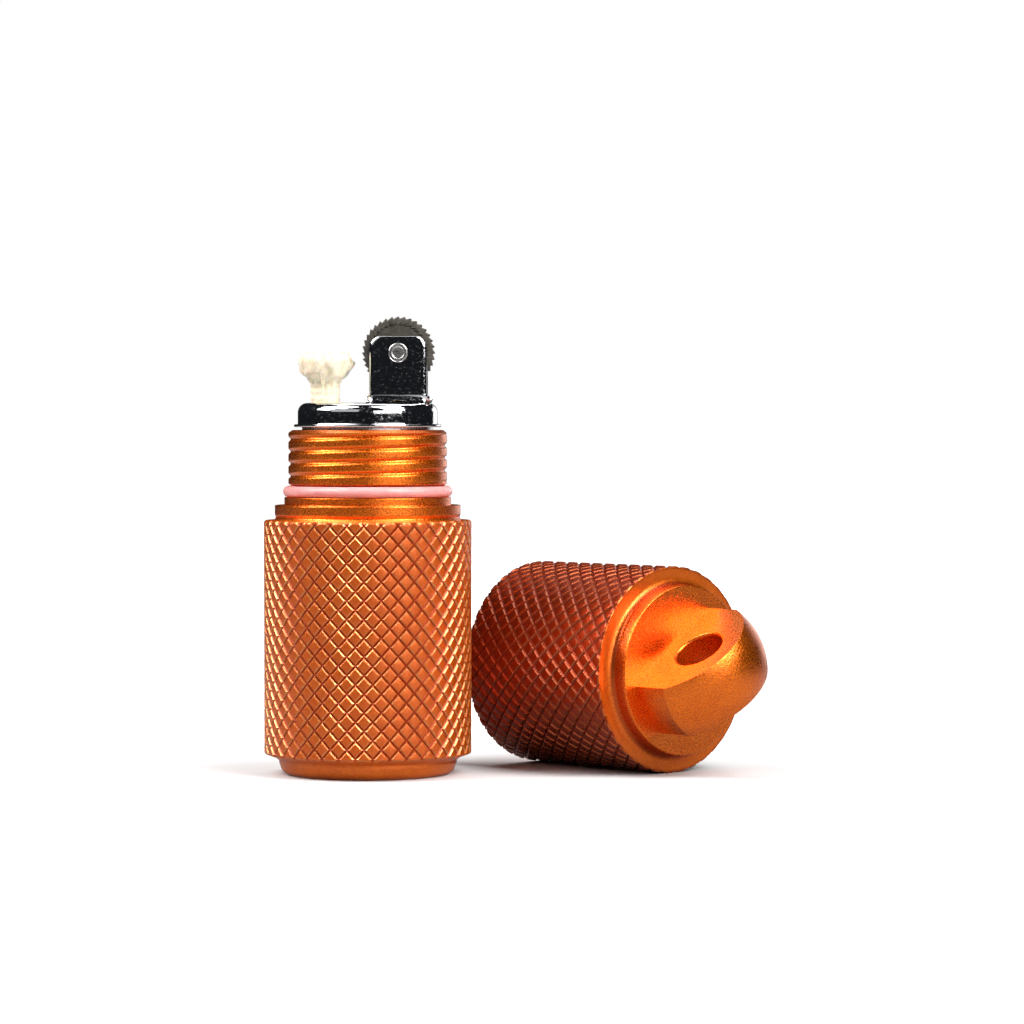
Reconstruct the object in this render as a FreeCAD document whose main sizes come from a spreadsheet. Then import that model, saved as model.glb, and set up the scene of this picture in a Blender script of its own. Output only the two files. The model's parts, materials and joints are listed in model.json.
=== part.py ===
"""Screw-cap petrol lighter: tank, pull-out wick and flint insert, spark wheel and loose cap."""
import FreeCAD, Part

import os
import re

import Sketcher
from FreeCAD import Placement, Rotation, Vector

# Driving dimensions in millimetres and degrees. Heights are above the foot unless the note
# says otherwise, and cap sizes are measured from the cap's own mouth.
SIZES = [
    ("knurlRadius", 11.0, "knurled grip of tank and cap"),
    ("gripBottom", 2.3, "lower edge of the grip"),
    ("shoulder", 26.9, "upper edge of the grip, where the cap seats"),
    ("edgeChamfer", 0.3, "small turned chamfers"),
    ("footRadius", 9.43, "plain band under the grip"),
    ("footFlat", 8.5, "radius of the face it stands on"),
    ("footBand", 1.6, "height of the plain band"),
    ("spigotRadius", 9.84, "step that centres the cap"),
    ("spigotTop", 28.5, "top of the centring step"),
    ("neckRadius", 8.83, "land under the O-ring"),
    ("grooveBottom", 29.35, "lower wall of the O-ring groove"),
    ("grooveTop", 30.55, "upper wall of the O-ring groove"),
    ("grooveRadius", 7.8, "bottom of the O-ring groove"),
    ("ringMean", 8.4, "O-ring mean radius"),
    ("ringWire", 0.58, "O-ring section radius"),
    ("threadRadius", 8.4, "crest of the neck thread"),
    ("threadPitch", 1.3, "neck thread pitch"),
    ("threadDepth", 0.28, "neck thread depth"),
    ("threadTurns", 4, "visible turns"),
    ("neckTop", 36.45, "rim of the tank"),
    ("boreRadius", 7.0, "bore that grips the insert"),
    ("tankFloor", 2.2, "inside floor of the tank"),
    ("sleeveRadius", 6.95, "outside of the insert sleeve"),
    ("sleeveWall", 0.35, "sheet thickness of the sleeve"),
    ("insertBottom", 9.0, "lower end of sleeve and flint tube"),
    ("cupRadius", 7.4, "chromed head"),
    ("cupTop", 39.3, "top face of the head"),
    ("cupWall", 0.4, "sheet thickness of the head"),
    ("lipRadius", 7.8, "flange of the head"),
    ("lipBottom", 36.75, "underside of the flange"),
    ("lipThickness", 0.3, "flange thickness"),
    ("wheelX", 3.3, "wheel and flint, from the lighter's axis"),
    ("wheelZ", 44.6, "axle height"),
    ("wheelRadius", 3.85, "tooth tips"),
    ("toothDepth", 0.26, "tooth height"),
    ("toothCount", 36, "teeth round the wheel"),
    ("wheelWidth", 3.6, "width of the wheel"),
    ("wheelBevel", 0.3, "turned bevel at each side of the wheel"),
    ("axleRadius", 0.82, "rivet shank"),
    ("rivetRadius", 1.03, "rivet head"),
    ("rivetHead", 0.22, "rivet head thickness"),
    ("axleClearance", 0.05, "wheel on rivet, radial"),
    ("cheekWidth", 6.1, "width of each bracket cheek"),
    ("cheekTop", 46.4, "upper edge of the cheeks"),
    ("cheekCorner", 1.2, "rounding of the cheeks' upper corners"),
    ("cheekInside", 1.95, "inner face of a cheek, from the mid-plane"),
    ("cheekSheet", 0.6, "bracket sheet thickness"),
    ("footFlare", 0.5, "spread of the bracket's foot"),
    ("wickX", -4.5, "wick, from the lighter's axis"),
    ("wickRadius", 1.55, "braided wick"),
    ("wickTop", 44.7, "top of the frayed end"),
    ("wickHead", 2.95, "radius of the frayed end"),
    ("wickBottom", 12.0, "lower end of the wick"),
    ("wireRadius", 0.28, "copper wire in the wick"),
    ("tubeRadius", 2.2, "outside of the flint tube"),
    ("tubeBore", 1.3, "bore of the flint tube"),
    ("flintRadius", 1.2, "flint and plunger"),
    ("flintBottom", 36.1, "lower end of the flint"),
    ("flintLength", 4.57, "flint length"),
    ("plungerHead", 1.2, "plunger head height"),
    ("plungerStem", 4.0, "plunger stem length"),
    ("stemRadius", 0.5, "plunger stem and screw nose"),
    ("springMean", 0.86, "spring mean radius"),
    ("springWire", 0.16, "spring wire radius"),
    ("springPitch", 1.35, "spring pitch as fitted"),
    ("screwHead", 2.1, "flint screw head radius"),
    ("screwHeadHeight", 1.35, "flint screw head height"),
    ("screwShank", 1.25, "flint screw shank radius"),
    ("screwShankTop", 14.0, "upper end of the shank"),
    ("screwNose", 2.0, "length of the nose inside the spring"),
    ("screwSlot", 0.5, "screwdriver slot width"),
    ("packRadius", 6.45, "felt and wadding"),
    ("packEdge", 0.15, "eased edges of felt and wadding"),
    ("feltBottom", 9.2, "underside of the felt pad"),
    ("feltHeight", 1.8, "felt pad thickness"),
    ("waddingBottom", 11.1, "underside of the lowest wadding"),
    ("waddingStep", 6.9, "rise from one wadding to the next"),
    ("waddingHeight", 6.7, "height of one wadding"),
    ("capLength", 20.6, "knurled length of the cap"),
    ("bossRoot", 9.7, "raised disc at its root"),
    ("bossRadius", 9.0, "raised disc at its face"),
    ("bossHeight", 1.9, "height of the raised disc"),
    ("finRadius", 7.4, "turned side of the lanyard fin"),
    ("finSphere", 8.0, "crown radius of the fin"),
    ("finSphereRise", 0.96, "crown centre above the raised disc"),
    ("finThickness", 6.3, "across the fin's flats"),
    ("lanyardRadius", 2.6, "lanyard hole"),
    ("lanyardRise", 3.75, "lanyard hole above the raised disc"),
    ("capSpigotBore", 9.95, "mouth bore round the centring step"),
    ("capSpigotDepth", 1.75, "depth of the mouth bore"),
    ("capSealBore", 9.06, "bore that presses on the O-ring"),
    ("capSealDepth", 3.75, "depth of the seal bore"),
    ("capThreadBore", 8.22, "crest of the cap's thread"),
    ("capThreadDepth", 9.6, "lower end of the cap's thread"),
    ("capCavity", 7.95, "room round the head"),
    ("capCavityDepth", 19.7, "straight part of the room"),
    ("capCeiling", 21.7, "depth of the room at its middle"),
    ("capCeilingRadius", 5.2, "flat part of the ceiling"),
    ("capMouthX", 18.45, "centre of the lying cap's mouth, across"),
    ("capMouthY", 15.18, "centre of the lying cap's mouth, back"),
    ("capHeading", -47.43, "direction from mouth to closed end, about Z"),
    ("capRoll", 35.8, "turn of the lying cap about its own axis"),
]

doc = FreeCAD.newDocument("Lighter")
sheet = doc.addObject("Spreadsheet::Sheet", "Sizes")


def fill_sheet():
    for row, (alias, size, note) in enumerate(SIZES, start=1):
        sheet.set(f"A{row}", alias)
        sheet.set(f"B{row}", str(size))
        sheet.setAlias(f"B{row}", alias)
        sheet.set(f"C{row}", note)
    doc.recompute()


def bound(formula):
    """Put the sheet's name before each of its aliases in a formula."""
    aliases = {alias for alias, size, note in SIZES}

    def full_name(word):
        return "Sizes." + word.group() if word.group() in aliases else word.group()

    return re.sub(r"[A-Za-z]\w*", full_name, str(formula))


def value(formula):
    return float(sheet.evalExpression(bound(formula)))


def bind(item, **formulas):
    """Tie an object's properties to the sheet; a double underscore stands for a dot."""
    for name, formula in formulas.items():
        item.setExpression(name.replace("__", "."), bound(formula))


def new_body(label):
    body = doc.addObject("PartDesign::Body", label)
    body.Label = label
    return body


def origin_feature(body, role):
    return next(item for item in body.Origin.OriginFeatures if item.Role == role)


def new_sketch(body, name, plane="XZ_Plane"):
    sketch = body.newObject("Sketcher::SketchObject", name)
    sketch.AttachmentSupport = (origin_feature(body, plane), [""])
    sketch.MapMode = "FlatFace"
    return sketch


def pin_point(sketch, line, end, across, up):
    """Hold one end of a sketch line at (across, up), each a formula."""
    for kind, axis, formula in (("DistanceX", -2, across), ("DistanceY", -1, up)):
        if value(formula) == 0:
            sketch.addConstraint(Sketcher.Constraint("PointOnObject", line, end, axis))
            continue
        constraint = Sketcher.Constraint(kind, -1, 1, line, end, value(formula))
        index = sketch.addConstraint(constraint)
        sketch.setExpression(f"Constraints[{index}]", bound(formula))


def draw_outline(sketch, points):
    """Closed outline of straight lines; each point is a pair of formulas."""
    places = [Vector(value(across), value(up), 0) for across, up in points]
    first = sketch.GeometryCount
    for here, there in zip(places, places[1:] + places[:1]):
        sketch.addGeometry(Part.LineSegment(here, there), False)
    for step in range(len(points)):
        following = (step + 1) % len(points)
        joint = Sketcher.Constraint("Coincident", first + step, 2, first + following, 1)
        sketch.addConstraint(joint)
    for step, (across, up) in enumerate(points):
        pin_point(sketch, first + step, 1, across, up)


def draw_circle(sketch, across, up, radius):
    centre = Vector(value(across), value(up), 0)
    circle = Part.Circle(centre, Vector(0, 0, 1), value(radius))
    index = sketch.addGeometry(circle, False)
    pin_point(sketch, index, 3, across, up)
    size = sketch.addConstraint(Sketcher.Constraint("Radius", index, value(radius)))
    sketch.setExpression(f"Constraints[{size}]", bound(radius))


def turned(body, name, points):
    """Solid turned about the body's Z axis from a half outline of (radius, height)."""
    sketch = new_sketch(body, name + "_outline")
    draw_outline(sketch, points)
    feature = body.newObject("PartDesign::Revolution", name)
    feature.Profile = sketch
    feature.ReferenceAxis = (origin_feature(body, "Z_Axis"), [""])
    feature.Angle = 360
    doc.recompute()
    return feature


def ring_grooves(body, points):
    """Grooves of one triangular section, repeated up the Z axis at the thread's pitch."""
    sketch = new_sketch(body, body.Label + "_thread_section")
    draw_outline(sketch, points)
    groove = body.newObject("PartDesign::Groove", body.Label + "_thread_groove")
    groove.Profile = sketch
    groove.ReferenceAxis = (origin_feature(body, "Z_Axis"), [""])
    groove.Angle = 360
    rows = body.newObject("PartDesign::LinearPattern", body.Label + "_thread")
    rows.Originals = [groove]
    rows.Direction = (origin_feature(body, "Z_Axis"), [""])
    bind(rows, Length="threadPitch * (threadTurns - 1)", Occurrences="threadTurns")
    body.Tip = rows
    doc.recompute()


def cut_through(body, name, plane, circles):
    """Pocket of round holes, both ways from the plane."""
    sketch = new_sketch(body, name + "_sketch", plane)
    for across, up, radius in circles:
        draw_circle(sketch, across, up, radius)
    pocket = body.newObject("PartDesign::Pocket", name)
    pocket.Profile = sketch
    pocket.Type = "ThroughAll"
    pocket.SideType = "Symmetric"
    doc.recompute()
    return pocket


def edges_where(feature, test):
    return [f"Edge{number}" for number, edge in enumerate(feature.Shape.Edges, start=1) if test(edge)]


def is_ring(edge, radius, height):
    circle = isinstance(edge.Curve, Part.Circle)
    return circle and abs(edge.Curve.Radius - radius) < 1e-4 and abs(edge.Curve.Center.z - height) < 1e-4


def make_tank():
    body = new_body("tank_body")
    turned(body, "tank_turning", [
        (0, 0),
        ("footFlat", 0),
        ("footRadius - edgeChamfer", "edgeChamfer"),
        ("footRadius", "3 * edgeChamfer"),
        ("footRadius", "footBand"),
        ("knurlRadius", "gripBottom"),
        ("knurlRadius", "shoulder - edgeChamfer"),
        ("knurlRadius - edgeChamfer", "shoulder"),
        ("spigotRadius", "shoulder"),
        ("spigotRadius", "spigotTop"),
        ("neckRadius", "spigotTop"),
        ("neckRadius", "grooveBottom"),
        ("grooveRadius", "grooveBottom"),
        ("grooveRadius", "grooveTop"),
        ("threadRadius - threadDepth", "grooveTop"),
        ("threadRadius", "grooveTop + threadDepth"),
        ("threadRadius", "neckTop - threadDepth"),
        ("threadRadius - 2 * threadDepth", "neckTop"),
        ("boreRadius", "neckTop"),
        ("boreRadius", "tankFloor"),
        (0, "tankFloor"),
    ])
    ring_grooves(body, [
        ("threadRadius + threadDepth", "grooveTop + threadPitch - 2 * threadDepth"),
        ("threadRadius - threadDepth", "grooveTop + threadPitch"),
        ("threadRadius + threadDepth", "grooveTop + threadPitch + 2 * threadDepth"),
    ])
    return body


def make_o_ring():
    ring = doc.addObject("Part::Torus", "neck_o_ring")
    bind(ring, Radius1="ringMean", Radius2="ringWire", Placement__Base__z="(grooveBottom + grooveTop) / 2")
    return ring


def make_head_cup():
    body = new_body("head_cup")
    turning = turned(body, "cup_turning", [
        (0, "cupTop - cupWall"),
        ("boreRadius", "cupTop - cupWall"),
        ("boreRadius", "lipBottom"),
        ("lipRadius", "lipBottom"),
        ("lipRadius", "lipBottom + lipThickness"),
        ("cupRadius", "lipBottom + lipThickness"),
        ("cupRadius", "cupTop"),
        (0, "cupTop"),
    ])
    edge = edges_where(turning, lambda e: is_ring(e, value("cupRadius"), value("cupTop")))
    fillet = body.newObject("PartDesign::Fillet", "cup_rounding")
    fillet.Base = (turning, edge)
    bind(fillet, Radius="cupWall * 1.5")
    cut_through(body, "cup_holes", "XY_Plane", [
        ("wheelX", 0, "tubeRadius + 0.02"),
        ("wickX", 0, "wickRadius + 0.05"),
    ])
    return body


def make_sleeve():
    body = new_body("insert_sleeve")
    turned(body, "sleeve_turning", [
        ("sleeveRadius - sleeveWall", "insertBottom"),
        ("sleeveRadius", "insertBottom"),
        ("sleeveRadius", "cupTop - cupWall"),
        ("sleeveRadius - sleeveWall", "cupTop - cupWall"),
    ])
    return body


def make_bracket():
    """Folded sheet: two cheeks on one base, spread a little where it meets the head."""
    body = new_body("wheel_bracket")
    left, right = "wheelX - cheekWidth / 2", "wheelX + cheekWidth / 2"
    outline = new_sketch(body, "cheek_outline")
    draw_outline(outline, [
        (left + " - footFlare", "cupTop"),
        (right + " + footFlare", "cupTop"),
        (right + " + footFlare / 4", "cupTop + cheekSheet"),
        (right, "cupTop + 2 * cheekSheet"),
        (right, "cheekTop"),
        (left, "cheekTop"),
        (left, "cupTop + 2 * cheekSheet"),
        (left + " - footFlare / 4", "cupTop + cheekSheet"),
    ])
    pad = body.newObject("PartDesign::Pad", "cheek_pad")
    pad.Profile = outline
    pad.SideType = "Symmetric"
    bind(pad, Length="2 * (cheekInside + cheekSheet)")
    doc.recompute()

    def is_corner(edge):
        upright = edge.BoundBox.YLength > 1 and edge.BoundBox.XLength < 1e-6
        return upright and abs(edge.BoundBox.ZMax - value("cheekTop")) < 1e-6

    fillet = body.newObject("PartDesign::Fillet", "cheek_corners")
    fillet.Base = (pad, edges_where(pad, is_corner))
    bind(fillet, Radius="cheekCorner")
    doc.recompute()

    channel = new_sketch(body, "wheel_channel_sketch", "YZ_Plane")
    draw_outline(channel, [
        ("-cheekInside", "cupTop + cheekSheet"),
        ("cheekInside", "cupTop + cheekSheet"),
        ("cheekInside", "cheekTop + 1"),
        ("-cheekInside", "cheekTop + 1"),
    ])
    pocket = body.newObject("PartDesign::Pocket", "wheel_channel")
    pocket.Profile = channel
    pocket.Type = "ThroughAll"
    pocket.SideType = "Symmetric"
    doc.recompute()
    cut_through(body, "bracket_axle_hole", "XZ_Plane", [("wheelX", "wheelZ", "axleRadius + 0.01")])
    cut_through(body, "bracket_tube_hole", "XY_Plane", [("wheelX", 0, "tubeRadius - 0.3")])
    return body


def make_axle():
    """Rivet along Y: a shank through both cheeks with a head outside each."""
    shank = doc.addObject("Part::Cylinder", "rivet_shank")
    bind(shank, Radius="axleRadius", Height="2 * (cheekInside + cheekSheet + rivetHead)")
    heads = []
    for name, low_end in (
        ("rivet_head_front", "0"),
        ("rivet_head_rear", "2 * (cheekInside + cheekSheet) + rivetHead"),
    ):
        head = doc.addObject("Part::Cylinder", name)
        bind(head, Radius="rivetRadius", Height="rivetHead", Placement__Base__z=low_end)
        heads.append(head)
    axle = doc.addObject("Part::MultiFuse", "wheel_axle")
    axle.Shapes = [shank] + heads
    axle.Placement = Placement(Vector(0, 0, 0), Rotation(Vector(1, 0, 0), -90))
    bind(axle, Placement__Base__x="wheelX", Placement__Base__z="wheelZ",
         Placement__Base__y="-(cheekInside + cheekSheet + rivetHead)")
    return axle


def make_wheel():
    """Hardened wheel with saw teeth that lean clockwise, seen from the front."""
    body = new_body("flint_wheel")
    disc = new_sketch(body, "wheel_disc_sketch")
    draw_circle(disc, 0, 0, "wheelRadius")
    pad = body.newObject("PartDesign::Pad", "wheel_disc")
    pad.Profile = disc
    pad.SideType = "Symmetric"
    bind(pad, Length="wheelWidth")
    doc.recompute()
    bevel = body.newObject("PartDesign::Chamfer", "wheel_bevel")
    bevel.Base = (pad, edges_where(pad, lambda e: isinstance(e.Curve, Part.Circle)))
    bind(bevel, Size="wheelBevel")
    doc.recompute()
    cut_through(body, "wheel_bore", "XZ_Plane", [(0, 0, "axleRadius + axleClearance")])

    gap = new_sketch(body, "tooth_gap_sketch")
    next_tip = "wheelRadius * sin(360 / toothCount)"
    draw_outline(gap, [
        (0, "wheelRadius + toothDepth"),
        (0, "wheelRadius"),
        ("toothDepth / 4", "wheelRadius - toothDepth"),
        (next_tip, "wheelRadius * cos(360 / toothCount)"),
        (next_tip, "wheelRadius + toothDepth"),
    ])
    pocket = body.newObject("PartDesign::Pocket", "tooth_gap")
    pocket.Profile = gap
    pocket.Type = "ThroughAll"
    pocket.SideType = "Symmetric"
    doc.recompute()
    teeth = body.newObject("PartDesign::PolarPattern", "teeth")
    teeth.Originals = [pocket]
    teeth.Axis = (origin_feature(body, "Y_Axis"), [""])
    teeth.Angle = 360
    bind(teeth, Occurrences="toothCount")
    body.Tip = teeth
    bind(body, Placement__Base__x="wheelX", Placement__Base__z="wheelZ")
    return body


def make_flint_tube():
    outside = doc.addObject("Part::Cylinder", "tube_outside")
    length = "cupTop - insertBottom"
    bind(outside, Radius="tubeRadius", Height=length)
    inside = doc.addObject("Part::Cylinder", "tube_inside")
    bind(inside, Radius="tubeBore", Height=length)
    tube = doc.addObject("Part::Cut", "flint_tube")
    tube.Base = outside
    tube.Tool = inside
    bind(tube, Placement__Base__x="wheelX", Placement__Base__z="insertBottom")
    return tube


def make_flint():
    flint = doc.addObject("Part::Cylinder", "flint")
    bind(flint, Radius="flintRadius", Height="flintLength",
         Placement__Base__x="wheelX", Placement__Base__z="flintBottom")
    return flint


def make_plunger():
    body = new_body("flint_plunger")
    turned(body, "plunger_turning", [
        (0, "flintBottom - plungerHead - plungerStem"),
        ("stemRadius", "flintBottom - plungerHead - plungerStem"),
        ("stemRadius", "flintBottom - plungerHead"),
        ("flintRadius", "flintBottom - plungerHead"),
        ("flintRadius", "flintBottom"),
        (0, "flintBottom"),
    ])
    bind(body, Placement__Base__x="wheelX")
    return body


def make_spring():
    """Coil between the plunger's head and the screw's shank, swept along a helix."""
    low = value("screwShankTop + springWire + 0.03")
    high = value("flintBottom - plungerHead - springWire - 0.03")
    helix = Part.makeHelix(value("springPitch"), high - low, value("springMean"))
    start = Vector(value("springMean"), 0, 0)
    section = Part.Wire(Part.Circle(start, Vector(0, 1, 0), value("springWire")).toShape())
    spring = doc.addObject("Part::Feature", "flint_spring")
    spring.Shape = Part.Wire(helix).makePipeShell([section], True, True)
    spring.Placement = Placement(Vector(value("wheelX"), 0, low), Rotation())
    return spring


def make_screw():
    """Flint screw: slotted head under the tube, shank up the bore, nose inside the spring."""
    body = new_body("flint_screw")
    head_top = "insertBottom - 0.05"
    head_bottom = head_top + " - screwHeadHeight"
    turned(body, "screw_turning", [
        (0, head_bottom),
        ("screwHead", head_bottom),
        ("screwHead", head_top),
        ("screwShank", head_top),
        ("screwShank", "screwShankTop"),
        ("stemRadius", "screwShankTop"),
        ("stemRadius", "screwShankTop + screwNose"),
        (0, "screwShankTop + screwNose"),
    ])
    slot = new_sketch(body, "screw_slot_sketch")
    draw_outline(slot, [
        ("-screwSlot / 2", head_bottom + " - 1"),
        ("screwSlot / 2", head_bottom + " - 1"),
        ("screwSlot / 2", head_bottom + " + screwHeadHeight / 2"),
        ("-screwSlot / 2", head_bottom + " + screwHeadHeight / 2"),
    ])
    pocket = body.newObject("PartDesign::Pocket", "screw_slot")
    pocket.Profile = slot
    pocket.Type = "ThroughAll"
    pocket.SideType = "Symmetric"
    bind(body, Placement__Base__x="wheelX")
    return body


def make_wick():
    """Braided wick with a wire up its middle and a frayed, spreading end."""
    body = new_body("wick")
    bore, wire_top = "wireRadius + 0.02", "wickTop - wickRadius + 0.02"
    turned(body, "wick_turning", [
        (bore, "wickBottom"),
        ("wickRadius", "wickBottom"),
        ("wickRadius", "wickTop - 2 * wickRadius"),
        ("wickHead - 0.8", "wickTop - 1.5 * wickRadius"),
        ("wickHead - 0.1", "wickTop - 1.1 * wickRadius"),
        ("wickHead", "wickTop - 0.6 * wickRadius"),
        ("wickHead - 0.5", "wickTop - 0.1 * wickRadius"),
        ("wickHead / 2", "wickTop"),
        (0, "wickTop"),
        (0, wire_top),
        (bore, wire_top),
    ])
    bind(body, Placement__Base__x="wickX")
    return body


def make_wick_wire():
    wire = doc.addObject("Part::Cylinder", "wick_wire")
    bind(wire, Radius="wireRadius", Height="wickTop - wickRadius - wickBottom",
         Placement__Base__x="wickX", Placement__Base__z="wickBottom")
    return wire


def packed_disc(label, bottom, height, with_wick):
    """Soft disc that fills the sleeve round the flint tube and, where it passes, the wick."""
    body = new_body(label)
    top = bottom + " + " + height
    turned(body, label + "_turning", [
        (0, bottom),
        ("packRadius - packEdge", bottom),
        ("packRadius", bottom + " + packEdge"),
        ("packRadius", top + " - packEdge"),
        ("packRadius - packEdge", top),
        (0, top),
    ])
    holes = [("wheelX", 0, "tubeRadius + 0.1")]
    if with_wick:
        holes.append(("wickX", 0, "wickRadius + 0.1"))
    cut_through(body, label + "_holes", "XY_Plane", holes)
    return body


def make_wadding():
    count = 4
    rises = [f"waddingBottom + {level} * waddingStep" for level in range(count)]
    return [
        packed_disc(f"wadding_{level}", bottom, "waddingHeight", True)
        for level, bottom in enumerate(rises, start=1)
    ]


def make_cap_turning():
    """Outside and inside of the cap without its fin, turned about the cap's own axis."""
    body = new_body("cap_turning_body")
    turned(body, "cap_turning", [
        ("capSpigotBore", 0),
        ("knurlRadius - edgeChamfer", 0),
        ("knurlRadius", "edgeChamfer"),
        ("knurlRadius", "capLength - edgeChamfer"),
        ("knurlRadius - edgeChamfer", "capLength"),
        ("bossRoot", "capLength"),
        ("bossRadius + 0.2", "capLength + edgeChamfer"),
        ("bossRadius", "capLength + bossHeight"),
        (0, "capLength + bossHeight"),
        (0, "capCeiling"),
        ("capCeilingRadius", "capCeiling"),
        ("capCavity", "capCavityDepth"),
        ("capCavity", "capThreadDepth"),
        ("capThreadBore", "capThreadDepth"),
        ("capThreadBore", "capSealDepth + edgeChamfer"),
        ("capSealBore", "capSealDepth"),
        ("capSealBore", "capSpigotDepth"),
        ("capSpigotBore", "capSpigotDepth"),
    ])
    ring_grooves(body, [
        ("capThreadBore - threadDepth", "capSealDepth + threadPitch - 2 * threadDepth"),
        ("capThreadBore + threadDepth", "capSealDepth + threadPitch"),
        ("capThreadBore - threadDepth", "capSealDepth + threadPitch + 2 * threadDepth"),
    ])
    return body


def make_cap_fin():
    """Turned stub with a spherical crown, milled flat on both sides."""
    sunk = "bossHeight / 4"
    base = "capLength + bossHeight - " + sunk
    stub = doc.addObject("Part::Cylinder", "fin_stub")
    bind(stub, Radius="finRadius", Height="finSphere + finSphereRise + " + sunk, Placement__Base__z=base)
    crown = doc.addObject("Part::Sphere", "fin_crown")
    bind(crown, Radius="finSphere", Placement__Base__z="capLength + bossHeight + finSphereRise")
    slab = doc.addObject("Part::Box", "fin_slab")
    bind(slab, Length="finThickness", Width="2 * finSphere", Height="2 * finSphere",
         Placement__Base__x="-finThickness / 2", Placement__Base__y="-finSphere", Placement__Base__z=base)
    fin = doc.addObject("Part::MultiCommon", "fin")
    fin.Shapes = [stub, crown, slab]
    return fin


def make_cap():
    """Cap lying on its knurled side: the closed end points forward and right."""
    whole = doc.addObject("Part::MultiFuse", "cap_whole")
    whole.Shapes = [make_cap_turning(), make_cap_fin()]
    drill = doc.addObject("Part::Cylinder", "lanyard_drill")
    drill.Placement = Placement(Vector(0, 0, 0), Rotation(Vector(0, 1, 0), 90))
    bind(drill, Radius="lanyardRadius", Height="2 * finThickness", Placement__Base__x="-finThickness",
         Placement__Base__z="capLength + bossHeight + lanyardRise")
    cap = doc.addObject("Part::Cut", "cap_shell")
    cap.Base = whole
    cap.Tool = drill
    lying = Rotation(Vector(0, 0, 1), value("capHeading")) * Rotation(Vector(0, 1, 0), 90)
    cap.Placement = Placement(Vector(0, 0, 0), lying * Rotation(Vector(0, 0, 1), value("capRoll")))
    bind(cap, Placement__Base__x="capMouthX", Placement__Base__y="capMouthY", Placement__Base__z="knurlRadius")
    return cap


def check_document(parts):
    for item in doc.Objects:
        if "Invalid" in item.State or "Error" in item.State:
            raise RuntimeError(f"{item.Name} failed: {item.State}")
    for part in parts:
        if part.Shape.isNull() or not part.Shape.isValid():
            raise RuntimeError(f"{part.Label} has no valid shape")


def write_parts(parts):
    os.makedirs("parts", exist_ok=True)
    for part in parts:
        part.Shape.exportStep(f"parts/{part.Label}.step")
        print(f"{part.Label}: {part.Shape.Volume:.2f} mm3, {len(part.Shape.Solids)} solid")


def make_lighter():
    fill_sheet()
    parts = [
        make_tank(), make_o_ring(), make_head_cup(), make_sleeve(), make_bracket(), make_axle(),
        make_wheel(), make_flint_tube(), make_flint(), make_plunger(), make_spring(), make_screw(),
        make_wick(), make_wick_wire(), packed_disc("felt_pad", "feltBottom", "feltHeight", False),
    ]
    parts += make_wadding()
    parts.append(make_cap())
    doc.recompute()
    check_document(parts)
    write_parts(parts)


make_lighter()
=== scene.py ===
import json
import random
from math import atan2, ceil, cos, floor, pi, radians, sin, sqrt

import bmesh
import bpy
from mathutils import Matrix, Vector, noise


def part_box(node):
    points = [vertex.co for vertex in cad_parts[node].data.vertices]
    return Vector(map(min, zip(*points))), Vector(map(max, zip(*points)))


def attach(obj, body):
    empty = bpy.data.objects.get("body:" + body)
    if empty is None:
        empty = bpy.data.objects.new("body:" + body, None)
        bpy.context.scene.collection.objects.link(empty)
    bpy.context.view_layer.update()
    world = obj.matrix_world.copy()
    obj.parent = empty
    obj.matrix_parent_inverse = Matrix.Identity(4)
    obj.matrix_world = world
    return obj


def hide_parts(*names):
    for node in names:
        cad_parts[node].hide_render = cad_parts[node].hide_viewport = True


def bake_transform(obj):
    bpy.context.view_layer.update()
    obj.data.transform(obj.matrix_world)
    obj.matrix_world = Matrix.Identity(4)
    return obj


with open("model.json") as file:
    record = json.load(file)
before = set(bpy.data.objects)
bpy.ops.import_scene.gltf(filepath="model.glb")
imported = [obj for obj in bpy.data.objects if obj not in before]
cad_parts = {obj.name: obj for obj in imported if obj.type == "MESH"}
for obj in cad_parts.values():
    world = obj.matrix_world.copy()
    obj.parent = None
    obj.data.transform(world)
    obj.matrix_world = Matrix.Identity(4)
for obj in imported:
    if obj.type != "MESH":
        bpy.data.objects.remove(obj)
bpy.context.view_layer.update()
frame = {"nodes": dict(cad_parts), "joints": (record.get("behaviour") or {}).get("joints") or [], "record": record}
record = frame["record"]
jointOf = {joint["name"]: joint for joint in frame["joints"]}
mountOf = {mount["name"]: mount for mount in record["mounts"]}
perMetre = 1000.0  # pieces are modelled in millimetres and scaled down when they are finished


def boxMm(node):
    low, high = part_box(node)
    return low * perMetre, high * perMetre


# ---- bench tools shared by the pieces

def eased(outline, size, steps=3):
    """Outline with each inner corner rounded, and a point beside each round so that flats stay flat."""
    points = [Vector(point) for point in outline]
    soft = [points[0]]
    for before, corner, after in zip(points, points[1:], points[2:]):
        reach = min(size, 0.4 * (corner - before).length, 0.4 * (after - corner).length)
        back = (before - corner).normalized()
        onward = (after - corner).normalized()
        if back.dot(onward) < -0.999:
            soft.append(corner)
            continue
        start, end = corner + back * reach, corner + onward * reach
        soft.append(start + back * reach * 0.2)
        for step in range(steps + 1):
            share = step / steps
            soft.append(start.lerp(corner, share).lerp(corner.lerp(end, share), share))
        soft.append(end + onward * reach * 0.2)
    soft.append(points[-1])
    return soft


def spinOutline(bm, outline, steps, closed=False):
    """Turns a half outline of (radius, height) right round the Z axis."""
    verts = [bm.verts.new((point[0], 0, point[1])) for point in outline]
    edges = [bm.edges.new(pair) for pair in zip(verts, verts[1:])]
    if closed:
        edges.append(bm.edges.new((verts[-1], verts[0])))
    bmesh.ops.spin(bm, geom=verts + edges, cent=(0, 0, 0), axis=(0, 0, 1), angle=2 * pi,
                   steps=steps, use_merge=True)
    bmesh.ops.remove_doubles(bm, verts=bm.verts, dist=1e-4)


def openLoop(bm, height):
    """Boundary edges that lie at one height."""
    return [e for e in bm.edges if e.is_boundary and all(abs(v.co.z - height) < 1e-3 for v in e.verts)]


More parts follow.
